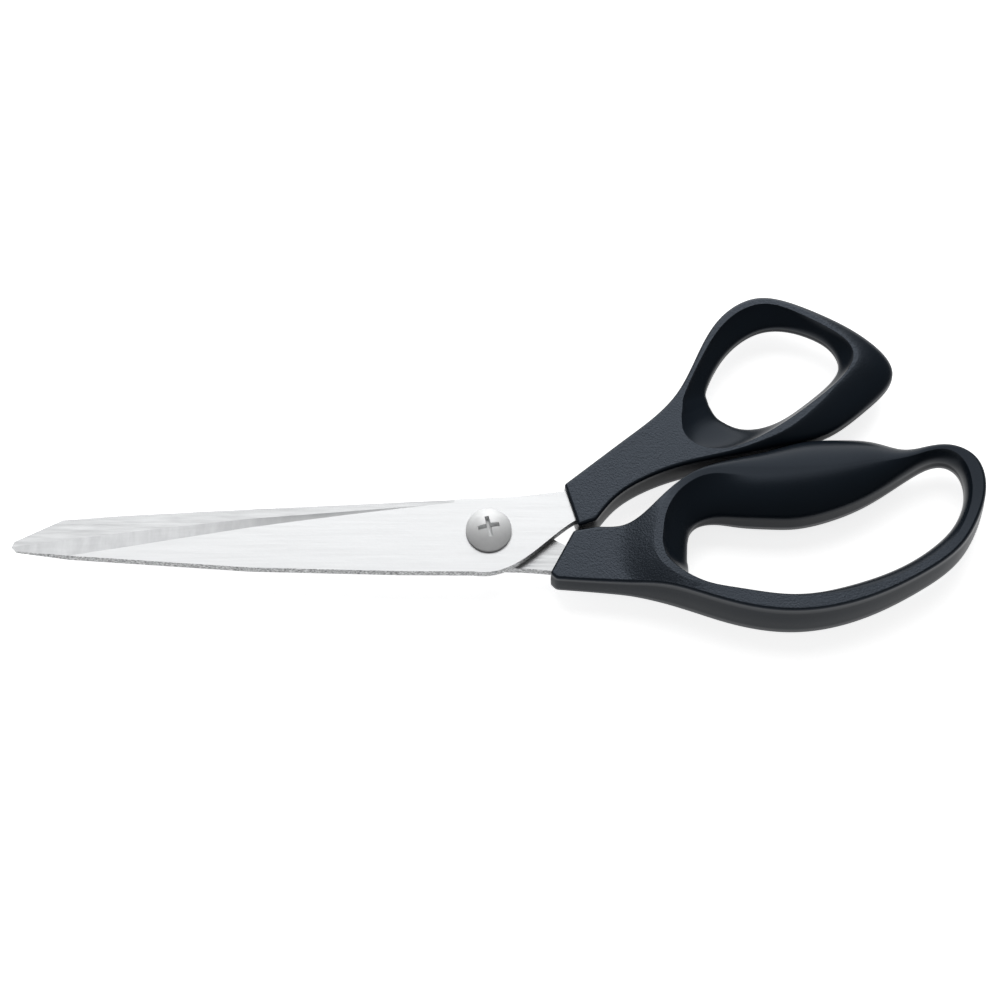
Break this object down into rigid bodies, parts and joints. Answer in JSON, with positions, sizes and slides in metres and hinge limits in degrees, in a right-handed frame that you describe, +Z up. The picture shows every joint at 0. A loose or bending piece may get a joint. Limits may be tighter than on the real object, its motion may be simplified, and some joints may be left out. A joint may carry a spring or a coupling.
{
  "type": "fabric shears",
  "caption": "Long bent-handle fabric shears: two steel blades cross on a pivot screw and end in a small thumb bow and a long finger bow with a palm swell.",
  "frame": {"origin": "on the pivot axis, at the end face of the pivot screw, level with the surface that the shears lie on", "axes": "+Z up along the pivot axis through the screw's head; +X from the pivot towards the bows, so the blades point along -X; +Y towards the thumb bow"},
  "size_m": [0.2538, 0.0898, 0.0171],
  "materials": {
    "blade_steel": "ground and satin polished stainless steel",
    "screw_steel": "bright nickel-plated steel",
    "nut_steel": "bright zinc-plated steel",
    "washer_polymer": "natural acetal",
    "handle_polymer": "black polypropylene, fine grain on the flats and satin in the bows"
  },
  "bodies": {
    "finger_half": {"finger_blade": "blade_steel", "finger_handle": "handle_polymer", "pivot_screw": "screw_steel", "blade_washer": "washer_polymer", "spring_washer": "nut_steel", "pivot_nut": "nut_steel"},
    "thumb_half": {"thumb_blade": "blade_steel", "thumb_handle": "handle_polymer"}
  },
  "joints": [
    {"name": "pivot", "type": "hinge", "parent": "finger_half", "child": "thumb_half", "pos_m": [0, 0, 0.00855], "axis": [0, 0, 1], "range_deg": [0, 65]}
  ]
}
